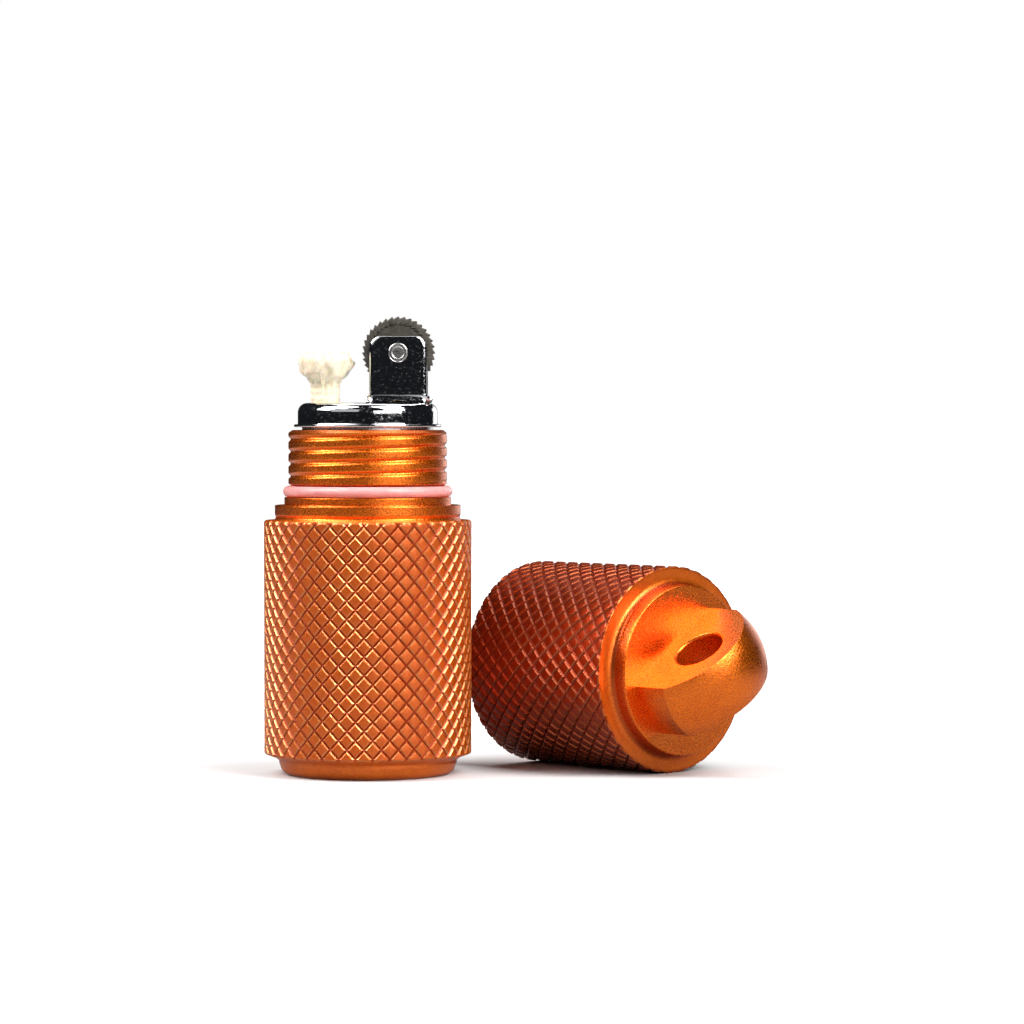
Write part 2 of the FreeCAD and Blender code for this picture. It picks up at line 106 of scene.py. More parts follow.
def stepLoop(bm, loop, height, limit=None, radius=None):
    """Extrudes a boundary loop to a height, held inside a limit radius or set to a radius."""
    made = bmesh.ops.extrude_edge_only(bm, edges=loop)["geom"]
    verts = {item for item in made if isinstance(item, bmesh.types.BMVert)}
    for vert in verts:
        size = vert.co.xy.length
        wanted = radius if radius is not None else min(size, limit)
        vert.co.x *= wanted / size
        vert.co.y *= wanted / size
        vert.co.z = height
    return [e for e in bm.edges if e.is_boundary and e.verts[0] in verts and e.verts[1] in verts]


def fillRing(bm, height, up, holes=()):
    """Closes the open loops at one height, leaving round holes given as (x, y, radius)."""
    loops = openLoop(bm, height)
    for x, y, radius in holes:
        verts = bmesh.ops.create_circle(bm, segments=64, radius=radius)["verts"]
        bmesh.ops.translate(bm, verts=verts, vec=(x, y, height))
        loops += list({e for v in verts for e in v.link_edges})
    bmesh.ops.triangle_fill(bm, edges=loops, use_beauty=True, normal=(0, 0, up))


def joinHoles(bm, holes):
    for x, y, radius in holes:
        rims = [e for e in bm.edges if e.is_boundary
                and all(abs((v.co.xy - Vector((x, y))).length - radius) < 1e-3 for v in e.verts)]
        bmesh.ops.bridge_loops(bm, edges=rims)


def shade(bm, sharpDegrees):
    bmesh.ops.recalc_face_normals(bm, faces=bm.faces)
    for face in bm.faces:
        face.smooth = True
    for edge in bm.edges:
        if len(edge.link_faces) == 2 and edge.calc_face_angle(0) > radians(sharpDegrees):
            edge.smooth = False


def bevelEdges(bm, edges, offset, segments):
    bmesh.ops.bevel(bm, geom=edges, offset=offset, offset_type="OFFSET", segments=segments, profile=0.5,
                    affect="EDGES", clamp_overlap=True, material=-1)


def sharpEdges(bm, degrees):
    return [e for e in bm.edges if len(e.link_faces) == 2 and e.calc_face_angle(0) > radians(degrees)]


def joinFlats(bm, faces):
    """Dissolves the edges inside flat areas, so that bevels beside them keep their full width."""
    edges = list({e for f in faces for e in f.edges})
    verts = list({v for f in faces for v in f.verts})
    bmesh.ops.dissolve_limit(bm, angle_limit=radians(0.5), use_dissolve_boundaries=False, verts=verts, edges=edges,
                             delimit={"NORMAL"})


def finishPiece(bm, name, body, material, standsFor=(), place=None, sharpDegrees=38,
                flats=False):
    shade(bm, sharpDegrees)
    if place is not None:
        bm.transform(place)
    bm.transform(Matrix.Scale(1 / perMetre, 4))
    mesh = bpy.data.meshes.new(name)
    bm.to_mesh(mesh)
    bm.free()
    piece = bpy.data.objects.new(name, mesh)
    bpy.context.scene.collection.objects.link(piece)
    mesh.materials.append(material)
    if flats:
        even = piece.modifiers.new("flatShading", "WEIGHTED_NORMAL")
        even.keep_sharp = True
    if standsFor:
        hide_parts(*standsFor)
    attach(piece, body)
    print(f"{name}: {len(mesh.polygons)} faces")
    return piece


# ---- finishes

class Finish:
    """A node material in the making, on object coordinates."""

    def __init__(self, name, **sockets):
        self.material = bpy.data.materials.new(name)
        self.material.use_nodes = True
        self.nodes = self.material.node_tree.nodes
        self.links = self.material.node_tree.links
        self.shader = self.nodes["Principled BSDF"]
        self.place = self.nodes.new("ShaderNodeTexCoord").outputs["Object"]
        for socket, level in sockets.items():
            self.shader.inputs[socket.replace("_", " ")].default_value = level

    def noise(self, scale, detail=3.0, roughness=0.55, source=None):
        node = self.nodes.new("ShaderNodeTexNoise")
        node.inputs["Scale"].default_value = scale
        node.inputs["Detail"].default_value = detail
        node.inputs["Roughness"].default_value = roughness
        self.links.new(source or self.place, node.inputs["Vector"])
        return node.outputs["Fac"]

    def cells(self, scale, source=None):
        node = self.nodes.new("ShaderNodeTexVoronoi")
        node.inputs["Scale"].default_value = scale
        self.links.new(source or self.place, node.inputs["Vector"])
        return node.outputs["Distance"]

    def stretched(self, size):
        node = self.nodes.new("ShaderNodeMapping")
        node.inputs["Scale"].default_value = size
        self.links.new(self.place, node.inputs["Vector"])
        return node.outputs["Vector"]

    def between(self, factor, low, high, fromLow=0.35, fromHigh=0.65):
        node = self.nodes.new("ShaderNodeMapRange")
        node.inputs["From Min"].default_value = fromLow
        node.inputs["From Max"].default_value = fromHigh
        node.inputs["To Min"].default_value = low
        node.inputs["To Max"].default_value = high
        self.links.new(factor, node.inputs["Value"])
        return node.outputs["Result"]

    def ramp(self, factor, stops):
        node = self.nodes.new("ShaderNodeValToRGB")
        node.color_ramp.elements.remove(node.color_ramp.elements[1])
        for index, (position, colour) in enumerate(stops):
            element = node.color_ramp.elements[0] if index == 0 else node.color_ramp.elements.new(position)
            element.position = position
            element.color = (*colour, 1)
        self.links.new(factor, node.inputs["Fac"])
        return node.outputs["Color"]

    def vector(self, kind, source, other=None):
        """A vector sum, or the number it gives; the other value is a constant or nothing."""
        node = self.nodes.new("ShaderNodeVectorMath")
        node.operation = kind
        self.links.new(source, node.inputs[0])
        if other is not None:
            node.inputs[1].default_value = other
        return node.outputs["Value" if kind in ("LENGTH", "DOT_PRODUCT") else "Vector"]

    def product(self, first, second):
        node = self.nodes.new("ShaderNodeMath")
        node.operation = "MULTIPLY"
        self.links.new(first, node.inputs[0])
        self.links.new(second, node.inputs[1])
        return node.outputs["Value"]

    def mixed(self, factor, below, colour):
        node = self.nodes.new("ShaderNodeMix")
        node.data_type = "RGBA"
        node.inputs["B"].default_value = (*colour, 1)
        self.links.new(factor, node.inputs["Factor"])
        self.links.new(below, node.inputs["A"])
        return node.outputs["Result"]

    def feed(self, socket, source):
        self.links.new(source, self.shader.inputs[socket])

    def bump(self, height, distance, strength=1.0, under=None):
        node = self.nodes.new("ShaderNodeBump")
        node.inputs["Strength"].default_value = strength
        node.inputs["Distance"].default_value = distance
        self.links.new(height, node.inputs["Height"])
        if under is not None:
            self.links.new(under, node.inputs["Normal"])
        return node.outputs["Normal"]


# the groove colour is painted shade, laid in the knurl grooves and in the cap's recess; the worn colour lightens the
# crest edges, partly wear and partly painted highlight
anodised = {
    "deep": (0.75, 0.128, 0.006), "bright": (0.95, 0.198, 0.010), "grain": 6500, "grainDepth": 0.000032,
    "rough": (0.30, 0.42), "groove": (0.34, 0.030, 0.002), "wornAndGlint": (0.98, 0.52, 0.17), "polish": 0.5,
    "turned": 0.78, "turnedMetal": 0.93, "recessShade": 0.7,
}


def orangeAnodised(name, foot, axis, radius, low, high, knurlShade, wearAndGlint, metal, recess=None):
    """Dyed metal; in the knurled band the colour is painted darker as painted shade, most towards the bottom of the
    grooves.
    """
    look = Finish(name, Coat_Weight=0.32, Coat_Roughness=0.10, Coat_IOR=1.5)
    grain = look.noise(anodised["grain"], 2, 0.6)
    skin = look.ramp(look.product(grain, look.between(look.noise(420, 2), 0.9, 1.1)),
                     [(0.36, anodised["deep"]), (0.62, anodised["bright"])])
    radius, low, high = (size / perMetre for size in (radius, low, high))
    inward = look.vector("SUBTRACT", look.place, Vector(foot) / perMetre)
    along = look.vector("DOT_PRODUCT", inward, axis)
    out = look.vector("LENGTH", look.vector("CROSS_PRODUCT", inward, axis))
    # painted shade: the knurled band is mixed towards the dark groove colour, fully at the groove bottoms and by the
    # given share on the crests
    depth = look.between(out, 1.0, 0.0, radius - 0.00022, radius - 0.00003)
    band = look.between(along, 0.0, 1.0, low - 0.0002, low)
    band = look.product(band, look.between(along, 1.0, 0.0, high, high + 0.0002))
    band = look.product(band, look.between(out, 0.0, 1.0, radius - 0.0004, radius - 0.0003))
    skin = look.mixed(look.product(band, look.between(depth, knurlShade, 1.0, 0.0, 1.0)), skin, anodised["groove"])
    # painted shade: the concave band between the annulus and the raised disc is mixed towards the dark groove colour
    if recess:
        inner, outer, bottom, top = (size / perMetre for size in recess)
        shadow = look.product(look.between(out, 0.0, 1.0, inner, inner + 0.0002),
                              look.between(out, 1.0, 0.0, outer, outer + 0.0001))
        shadow = look.product(shadow, look.between(along, 0.0, anodised["recessShade"], bottom, bottom + 0.0002))
        shadow = look.product(shadow, look.between(along, 1.0, 0.0, top - 0.0004, top - 0.0002))
        skin = look.mixed(shadow, skin, anodised["groove"])
    # crest edges of the knurl get a lighter cream colour: partly wear of the dye, partly a painted highlight along
    # the crest rims
    wornAndGlint = look.product(look.between(out, 0.0, 1.0, radius - 0.00015, radius - 0.00008),
                        look.between(out, 1.0, 0.0, radius - 0.00003, radius - 0.00001))
    wornAndGlint = look.product(look.product(wornAndGlint, band), look.between(look.noise(900, 3), 0.25, 1.0))
    skin = look.mixed(look.product(wornAndGlint, look.between(wornAndGlint, wearAndGlint, wearAndGlint)), skin, anodised["wornAndGlint"])
    look.feed("Base Color", skin)
    look.feed("Metallic", look.between(along, metal, anodised["turnedMetal"], high, high + 0.0004))
    satin = look.product(look.between(grain, *anodised["rough"]),
                         look.between(along, 1.0, anodised["turned"], high, high + 0.0004))
    look.feed("Roughness", look.product(satin, look.between(wornAndGlint, 1.0, anodised["polish"], 0.0, 1.0)))
    blast = look.bump(grain, anodised["grainDepth"])
    worked = look.bump(look.noise(1600, 2), 0.000006, under=blast)
    look.feed("Normal", worked)
    look.feed("Coat Normal", worked)
    return look.material


def chromePlate():
    look = Finish("chromePlate", Metallic=1.0)
    look.feed("Base Color", look.ramp(look.noise(900, 3), [(0.2, (0.80, 0.81, 0.83)), (0.8, (0.90, 0.90, 0.91))]))
    specks = look.noise(3200, 5, 0.75)
    look.feed("Roughness", look.between(specks, 0.03, 0.34, 0.52, 0.72))
    look.feed("Normal", look.bump(look.noise(1100, 4, 0.7), 0.000012))
    return look.material


def steelFinish(name, dark, light, rough, grain=5200, depth=0.000008):
    look = Finish(name, Metallic=1.0)
    look.feed("Base Color", look.ramp(look.noise(1300, 4), [(0.3, dark), (0.7, light)]))
    speck = look.noise(grain, 3, 0.65)
    look.feed("Roughness", look.between(speck, *rough))
    look.feed("Normal", look.bump(speck, depth))
    return look.material


def pinkSilicone():
    look = Finish("pinkSilicone", Subsurface_Weight=0.65, Subsurface_Scale=0.0006,
                  Subsurface_Radius=(1.0, 0.45, 0.4), Coat_Weight=0.2, Coat_Roughness=0.3)
    look.feed("Base Color", look.ramp(look.noise(500, 2), [(0.3, (0.72, 0.29, 0.28)), (0.7, (0.80, 0.38, 0.36))]))
    look.feed("Roughness", look.between(look.noise(3000, 2), 0.32, 0.48))
    look.feed("Normal", look.bump(look.noise(2500, 2), 0.000006))
    return look.material


def fibreFinish(name, dark, light, scale=6000, stretch=(1, 1, 0.25), depth=0.00003):
    look = Finish(name, Sheen_Weight=0.4, Sheen_Roughness=0.5, Subsurface_Weight=0.25,
                  Subsurface_Scale=0.0005)
    strands = look.noise(scale, 3, 0.6, look.stretched(stretch))
    look.feed("Base Color", look.ramp(strands, [(0.3, dark), (0.7, light)]))
    look.feed("Roughness", look.between(look.noise(2000, 2), 0.8, 0.95))
    look.feed("Normal", look.bump(strands, depth, 0.7))
    return look.material


chrome = chromePlate()
silicone = pinkSilicone()
brightSheet = steelFinish("brightSheet", (0.52, 0.52, 0.53), (0.68, 0.68, 0.69), (0.2, 0.34))
rivetSteel = steelFinish("rivetSteel", (0.30, 0.29, 0.28), (0.52, 0.51, 0.50), (0.22, 0.42))
wheelSteel = steelFinish("wheelSteel", (0.085, 0.078, 0.065), (0.165, 0.15, 0.13), (0.42, 0.58), 6500, 0.000016)
springSteel = steelFinish("springSteel", (0.34, 0.34, 0.35), (0.5, 0.5, 0.51), (0.25, 0.4))
brass = steelFinish("turnedBrass", (0.55, 0.36, 0.12), (0.72, 0.50, 0.20), (0.2, 0.36))
copper = steelFinish("copperWire", (0.50, 0.21, 0.10), (0.66, 0.30, 0.16), (0.25, 0.4))
flintAlloy = steelFinish("flintAlloy", (0.05, 0.047, 0.045), (0.12, 0.11, 0.10), (0.5, 0.75), 4200, 0.00002)
cotton = fibreFinish("wickCotton", (0.78, 0.62, 0.41), (0.90, 0.78, 0.60))
felt = fibreFinish("greyFelt", (0.24, 0.23, 0.21), (0.42, 0.40, 0.37), 2600, (1, 1, 1), 0.0001)
wadding = fibreFinish("whiteWadding", (0.74, 0.72, 0.66), (0.92, 0.91, 0.87), 1500, (1, 1, 0.6), 0.0002)
print("finishes made")


# ---- knurled grip, used by the tank and the cap

knurl = {
    "cells": 38, "pitch": 1.93, "depth": 0.22, "halfGroove": 0.22, "edge": 0.035, "segments": 2,
}


def knurlGrip(bm, radius, low, high, firstPeak):
    """Raised diamonds between two heights; both ends are left as open loops."""
    pitch = knurl["pitch"]
    start = firstPeak - pitch * ceil((firstPeak - low) / pitch + 1)
    rows = ceil((high - start) / pitch) + 1
    valley = radius - knurl["depth"]
    made = bmesh.ops.create_circle(bm, segments=knurl["cells"], radius=valley)
    bmesh.ops.translate(bm, verts=made["verts"], vec=(0, 0, start))
    loop = list(bm.edges)
    for row in range(rows):
        loop = stepLoop(bm, loop, start + (row + 1) * pitch, radius=valley)
        loop = [e for e in loop if abs(e.verts[0].co.z - e.verts[1].co.z) < 1e-6]
    straight = [e for e in bm.edges if not e.is_boundary]
    centres = bmesh.ops.poke(bm, faces=bm.faces)["verts"]
    for vert in centres:
        vert.co.xy = vert.co.xy.normalized() * valley
    bmesh.ops.dissolve_edges(bm, edges=straight, use_verts=False)
    bmesh.ops.recalc_face_normals(bm, faces=bm.faces)
    sample = bm.faces[:][0]
    if sample.normal.xy.dot(sample.calc_center_median().xy) < 0:
        bmesh.ops.reverse_faces(bm, faces=bm.faces)
    crests = list(bm.faces)
    bmesh.ops.inset_individual(bm, faces=crests, thickness=knurl["halfGroove"], depth=knurl["depth"],
                               use_even_offset=True)
    for vert in {v for face in crests for v in face.verts}:
        vert.co.xy = vert.co.xy.normalized() * radius
    tops = [f for f in crests if len(f.verts) == 4]
    border = [e for face in tops for e in face.edges]
    centres = bmesh.ops.poke(bm, faces=tops)["verts"]
    for vert in centres:
        vert.co.xy = vert.co.xy.normalized() * radius
    bevelEdges(bm, border, knurl["edge"], knurl["segments"])
    for height, direction in ((low, -1), (high, 1)):
        bmesh.ops.bisect_plane(bm, geom=bm.verts[:] + bm.edges[:] + bm.faces[:], dist=1e-5,
                               plane_co=(0, 0, height), plane_no=(0, 0, direction), clear_outer=True)


# ---- tank: knurled body, centring step, O-ring groove, neck thread and bore

tank = {
    "grip": 11.0, "gripLow": 2.3, "gripHigh": 26.72, "gripLimit": 10.82, "shoulder": 26.9, "firstPeak": 3.36,
    "ledge": 9.72, "ledgeHigh": 1.72, "foot": 9.43, "footHigh": 1.6, "footFlat": 8.6,
    "step": 9.84, "stepHigh": 28.5, "land": 8.83, "grooveLow": 29.35, "grooveHigh": 30.55, "groove": 7.8,
    "thread": 8.4, "threadPitch": 1.3, "threadDepth": 0.24, "threadGap": 0.36, "neckHigh": 36.45,
    "bore": 7.0, "floor": 2.2, "turns": 192, "threadStep": 0.085,
}


def tankNeckOutline():
    neck = eased([
        (tank["step"] + 0.12, tank["shoulder"]), (tank["step"] - 0.12, tank["shoulder"] + 0.3),
        (tank["step"], tank["shoulder"] + 0.62),
        (tank["step"], tank["stepHigh"]), (tank["land"], tank["stepHigh"]), (tank["land"], tank["grooveLow"]),
        (tank["groove"], tank["grooveLow"]), (tank["groove"], tank["grooveHigh"]),
        (tank["thread"] - 0.3, tank["grooveHigh"]), (tank["thread"], tank["grooveHigh"] + 0.22),
    ], 0.09)
    rise = tank["neckHigh"] - 0.32 - neck[-1].y
    count = ceil(rise / tank["threadStep"])
    wall = [Vector((tank["thread"], neck[-1].y + rise * (row + 1) / count)) for row in range(count)]
    inner = eased([
        wall[-1], (tank["thread"] - 0.42, tank["neckHigh"]), (tank["bore"], tank["neckHigh"]),
        (tank["bore"], tank["floor"]), (0, tank["floor"]),
    ], 0.12)
    return neck + wall + inner[1:]


def cutThread(bm, low, high, radius, pitch, depth, gap, sign, start=0.0):
    """Presses a helical groove into a turned wall: sign -1 cuts inwards and 1 outwards."""
    for vert in bm.verts:
        size = vert.co.xy.length
        if not (low < vert.co.z < high and abs(size - radius) < 0.02):
            continue
        phase = (vert.co.z - start) / pitch - atan2(vert.co.y, vert.co.x) / (2 * pi)
        offset = abs(phase - floor(phase) - 0.5) * pitch
        if offset < gap:
            fade = min(1.0, (vert.co.z - low) / (0.5 * pitch), (high - vert.co.z) / (0.3 * pitch))
            cut = depth * (0.5 + 0.5 * cos(pi * offset / gap)) * max(0.0, fade)
            vert.co.xy *= (size + sign * cut) / size


def makeTank():
    bm = bmesh.new()
    knurlGrip(bm, tank["grip"], tank["gripLow"], tank["gripHigh"], tank["firstPeak"])
    stepLoop(bm, openLoop(bm, tank["gripHigh"]), tank["shoulder"], limit=tank["gripLimit"])
    low = stepLoop(bm, openLoop(bm, tank["gripLow"]), tank["gripLow"] - 0.12, limit=tank["grip"] - 0.1)
    low = stepLoop(bm, low, tank["ledgeHigh"] + 0.12, limit=tank["ledge"] + 0.25)
    low = stepLoop(bm, low, tank["ledgeHigh"], radius=tank["ledge"])
    stepLoop(bm, low, tank["footHigh"], radius=tank["ledge"] - 0.1)
    spinOutline(bm, tankNeckOutline(), tank["turns"])
    spinOutline(bm, eased([
        (tank["foot"], tank["footHigh"]), (tank["foot"], 1.25), (tank["foot"] - 0.3, 0.4),
        (tank["footFlat"], 0), (0, 0),
    ], 0.35), tank["turns"])
    fillRing(bm, tank["shoulder"], 1)
    fillRing(bm, tank["footHigh"], -1)
    cutThread(bm, tank["grooveHigh"] + 0.3, tank["neckHigh"] - 0.3, tank["thread"], tank["threadPitch"],
              tank["threadDepth"], tank["threadGap"], -1, start=0.35)
    # the first 0.5 paints the tank's knurled band half in the dark groove colour as painted shade; the second 0.5
    # sets the worn edges, partly painted highlight
    skin = orangeAnodised("tankAnodised", (0, 0, 0), (0, 0, 1), tank["grip"], tank["gripLow"], tank["gripHigh"], 0.5, 0.5, 0.58)
    finishPiece(bm, "knurledTank", "tank", skin, ["tank_body"], flats=True)


# ---- cap: knurled shell, raised disc and lanyard fin

cap = {
    "gripLow": 0.2, "gripHigh": 20.47, "gripLimit": 10.93, "length": 20.6, "firstPeak": 0.9,
    "annulus": 9.95, "bossRoot": 9.74, "boss": 9.0, "bossHigh": 22.5, "discEdge": 8.75, "fillet": 0.66,
    "mouth": 9.95, "mouthDeep": 1.75, "seal": 9.06, "sealDeep": 3.75, "thread": 8.22, "threadDeep": 9.6,
    "room": 7.95, "roomDeep": 19.7, "ceiling": 21.7, "ceilingFlat": 5.2,
    "fin": 7.4, "crown": 8.0, "crownRise": 0.96, "finHalf": 3.15, "hole": 2.6, "holeRise": 3.75,
    "finEdge": 0.16, "holeEdge": 0.32, "baseFillet": 0.22,
}


def capPlace():
    """Pose of the lying cap, from its tipping joint and its lanyard hole."""
    hinge = jointOf["cap_tip_up"]
    along = Vector((0, 0, 1)).cross(Vector(hinge["axis"])).normalized()
    holeAxis = -Vector(mountOf["lanyard_hole"]["axis"]).normalized()
    side = along.cross(holeAxis)
    turn = Matrix((holeAxis, side, along)).transposed().to_4x4()
    mouth = Vector(hinge["pos_m"]) * perMetre + Vector((0, 0, tank["grip"]))
    return Matrix.Translation(mouth) @ turn


def capInside():
    wall = []
    count = ceil((cap["threadDeep"] - cap["sealDeep"]) / 0.1)
    for row in range(count + 1):
        wall.append(Vector((cap["thread"], cap["sealDeep"] + 0.3 + (cap["threadDeep"] - cap["sealDeep"] - 0.3)
                            * row / count)))
    mouth = eased([
        (cap["mouth"] + 0.3, 0), (cap["mouth"], 0.3), (cap["mouth"], cap["mouthDeep"]),
        (cap["seal"] + 0.1, cap["mouthDeep"]), (cap["seal"], cap["mouthDeep"] + 0.2),
        (cap["seal"], cap["sealDeep"]), wall[0],
    ], 0.1)
    room = eased([
        wall[-1], (cap["room"], cap["threadDeep"]), (cap["room"], cap["roomDeep"]),
        (cap["ceilingFlat"], cap["ceiling"]), (0, cap["ceiling"]),
    ], 0.3)
    return mouth[:-1] + wall + room[1:]


def makeFinMesh():
    """Stub with a spherical crown, cut flat on both sides and drilled across."""
    base = cap["bossHigh"]
    centre = base + cap["crownRise"]
    edgeRise = sqrt(cap["crown"] ** 2 - cap["fin"] ** 2)
    outline = [Vector((cap["fin"], base))]
    outline += [Vector((cap["fin"], centre + edgeRise - drop)) for drop in (0.14, 0.03)]
    lowAngle = atan2(edgeRise, cap["fin"]) + 0.004
    outline.append(Vector((cap["crown"] * cos(lowAngle), centre + cap["crown"] * sin(lowAngle))))
    lowAngle += 0.012
    count = 26
    for step in range(count + 1):
        angle = lowAngle + (pi / 2 - lowAngle) * step / count
        outline.append(Vector((cap["crown"] * cos(angle), centre + cap["crown"] * sin(angle))))
    outline[-1].x = 0
    bm = bmesh.new()
    spinOutline(bm, outline, 128)
    for side in (-1, 1):
        cut = bmesh.ops.bisect_plane(bm, geom=bm.verts[:] + bm.edges[:] + bm.faces[:], dist=1e-4,
                                     plane_co=(side * cap["finHalf"], 0, 0), plane_no=(side, 0, 0),
                                     clear_outer=True)
        rim = [item for item in cut["geom_cut"] if isinstance(item, bmesh.types.BMEdge)]
        ends = [v for e in rim for v in e.verts if abs(v.co.z - base) < 1e-3]
        low = bm.edges.new(sorted(set(ends), key=lambda v: v.co.y))
        flatFace = bmesh.ops.contextual_create(bm, geom=rim + [low])["faces"][0]
        drillFlat(bm, flatFace, side)
    rims = [[e for e in bm.edges if e.is_boundary and all(abs(v.co.x - side * cap["finHalf"]) < 1e-3
             for v in e.verts) and all(v.co.z > base + 0.5 for v in e.verts)] for side in (-1, 1)]
    bmesh.ops.bridge_loops(bm, edges=rims[0] + rims[1])
    bmesh.ops.recalc_face_normals(bm, faces=bm.faces)
    joinFlats(bm, [f for f in bm.faces if abs(f.normal.x) > 0.999])
    holeHeight = base + cap["holeRise"]
    holeRims, crownRims = [], []
    for edge in sharpEdges(bm, 30):
        middle = (edge.verts[0].co + edge.verts[1].co) / 2
        onFlat = all(abs(abs(v.co.x) - cap["finHalf"]) < 1e-3 for v in edge.verts)
        if not onFlat or middle.z < base + 1e-3:
            continue
        nearHole = abs(Vector((middle.y, middle.z - holeHeight)).length - cap["hole"]) < 0.1
        (holeRims if nearHole else crownRims).append(edge)
    bevelEdges(bm, holeRims, cap["holeEdge"], 4)
    bevelEdges(bm, crownRims, cap["finEdge"], 3)
    return bm


def drillFlat(bm, flatFace, side):
    """Opens a round hole in one flat of the fin."""
    made = bmesh.ops.create_circle(bm, segments=72, radius=cap["hole"])
    turn = Matrix.Rotation(radians(90), 4, "Y")
    place = Matrix.Translation((side * cap["finHalf"], 0, cap["bossHigh"] + cap["holeRise"])) @ turn
    bmesh.ops.transform(bm, verts=made["verts"], matrix=place)
    ring = list({e for v in made["verts"] for e in v.link_edges})
    border = list(flatFace.edges)
    bmesh.ops.delete(bm, geom=[flatFace], context="FACES_ONLY")
    bmesh.ops.triangle_fill(bm, edges=border + ring, use_beauty=True, normal=(side, 0, 0))


def makeCap():
    bm = bmesh.new()
    knurlGrip(bm, tank["grip"], cap["gripLow"], cap["gripHigh"], cap["firstPeak"])
    high = stepLoop(bm, openLoop(bm, cap["gripHigh"]), cap["length"] - 0.05, limit=cap["gripLimit"])
    high = stepLoop(bm, high, cap["length"], radius=cap["gripLimit"] - 0.07)
    stepLoop(bm, high, cap["length"], radius=cap["gripLimit"] - 0.2)
    stepLoop(bm, openLoop(bm, cap["gripLow"]), 0, limit=cap["gripLimit"])
    spinOutline(bm, capInside(), tank["turns"])
    curve = [(cap["bossRoot"] - cap["fillet"] * sin(a), cap["length"] + cap["fillet"] * (1 - cos(a)) + 0.02)
             for a in (radians(18 + 9 * step) for step in range(9))]
    rim = eased([curve[-1], (cap["boss"], cap["bossHigh"]), (cap["discEdge"], cap["bossHigh"])], 0.12)
    spinOutline(bm, [(cap["annulus"], cap["length"]), (cap["bossRoot"], cap["length"]), *curve, *rim[1:]],
                tank["turns"])
    mergeInto(bm, makeFinMesh())
    for height, up in ((0, -1), (cap["length"], 1), (cap["bossHigh"], 1)):
        fillRing(bm, height, up)
    bmesh.ops.remove_doubles(bm, verts=[v for v in bm.verts if abs(v.co.z - cap["bossHigh"]) < 1e-3], dist=1e-4)
    bmesh.ops.recalc_face_normals(bm, faces=bm.faces)
    joinFlats(bm, [f for f in bm.faces if abs(f.calc_center_median().z - cap["bossHigh"]) < 1e-4])
    roots = [e for e in sharpEdges(bm, 60) if all(abs(v.co.z - cap["bossHigh"]) < 1e-3
             and v.co.xy.length < cap["fin"] + 0.05 for v in e.verts)]
    bevelEdges(bm, roots, cap["baseFillet"], 3)
    cutThread(bm, cap["sealDeep"] + 0.3, cap["threadDeep"] - 0.1, cap["thread"], tank["threadPitch"],
              tank["threadDepth"], tank["threadGap"], 1)
    place = capPlace()
    # painted shade: 0.97 paints nearly the whole knurled band of the cap in the dark groove colour, and the last
    # tuple gives the recess round the raised disc that is painted as shade
    skin = orangeAnodised("capAnodised", place.translation, place.col[2].xyz, tank["grip"], cap["gripLow"],
                          cap["gripHigh"], 0.97, 0.15, 0.82,
                          (cap["boss"] - 0.15, cap["bossRoot"], cap["length"], cap["bossHigh"]))
    finishPiece(bm, "knurledCap", "cap", skin, ["cap_shell"], place, flats=True)


# ---- sealing ring

ring = {"mean": 8.4, "wire": 0.58, "middle": 29.95}


def makeRing():
    bm = bmesh.new()
    made = bmesh.ops.create_circle(bm, segments=28, radius=ring["wire"])
    place = Matrix.Translation((ring["mean"], 0, ring["middle"])) @ Matrix.Rotation(radians(90), 4, "X")
    bmesh.ops.transform(bm, verts=made["verts"], matrix=place)
    bmesh.ops.spin(bm, geom=bm.verts[:] + bm.edges[:], cent=(0, 0, 0), axis=(0, 0, 1), angle=2 * pi, steps=144,
                   use_merge=True)
    bmesh.ops.remove_doubles(bm, verts=bm.verts, dist=1e-4)
    finishPiece(bm, "sealRing", "tank", silicone, ["neck_o_ring"])


# ---- chromed head, its sleeve and the folded bracket

head = {
    "bore": 7.0, "lip": 7.8, "lipLow": 36.75, "lipHigh": 37.05, "wall": 7.4, "under": 38.9, "top": 39.3,
    "rounding": 1.0, "tube": (3.3, 0, 2.22), "wick": (-4.5, 0, 1.6),
}


def makeHead():
    bm = bmesh.new()
    rounded = [Vector((head["wall"] - head["rounding"] * (1 - cos(a)), head["top"] - head["rounding"] * (1 - sin(a))))
               for a in (radians(9 * step) for step in range(1, 11))]
    outline = eased([
        (head["bore"], head["under"]), (head["bore"], head["lipLow"]), (head["lip"], head["lipLow"]),
        (head["lip"], head["lipHigh"]), (head["wall"], head["lipHigh"]), (head["wall"], 38.1),
    ], 0.11) + [Vector((head["wall"], head["top"] - head["rounding"]))] + rounded
    spinOutline(bm, outline, 160)
    holes = [head["tube"], head["wick"]]
    fillRing(bm, head["top"], 1, holes)
    fillRing(bm, head["under"], -1, holes)
    joinHoles(bm, holes)
    finishPiece(bm, "chromedHead", "insert", chrome, ["head_cup"], flats=True)


sleeve = {"outer": 6.95, "inner": 6.6, "low": 9.0, "high": 38.9, "flare": 0.12}


def makeSleeve():
    bm = bmesh.new()
    bead = [(sleeve["outer"], sleeve["low"] + z) for z in (24.6, 24.9, 25.2)]
    points = eased([
        (sleeve["inner"], sleeve["high"]), (sleeve["outer"], sleeve["high"]), *reversed(bead),
        (sleeve["outer"], sleeve["low"]), (sleeve["inner"], sleeve["low"]), (sleeve["inner"], sleeve["high"] - 1),
    ], 0.1)
    spinOutline(bm, points, 128, closed=True)
    finishPiece(bm, "drawnSleeve", "insert", brightSheet, ["insert_sleeve"])


bracket = {
    "left": 0.25, "right": 6.35, "flare": 0.5, "top": 46.4, "corner": 1.2, "inside": 1.95, "sheet": 0.6,
    "base": 39.3, "bend": 0.25, "edge": 0.42, "innerEdge": 0.05, "drainHole": 1.9,
}


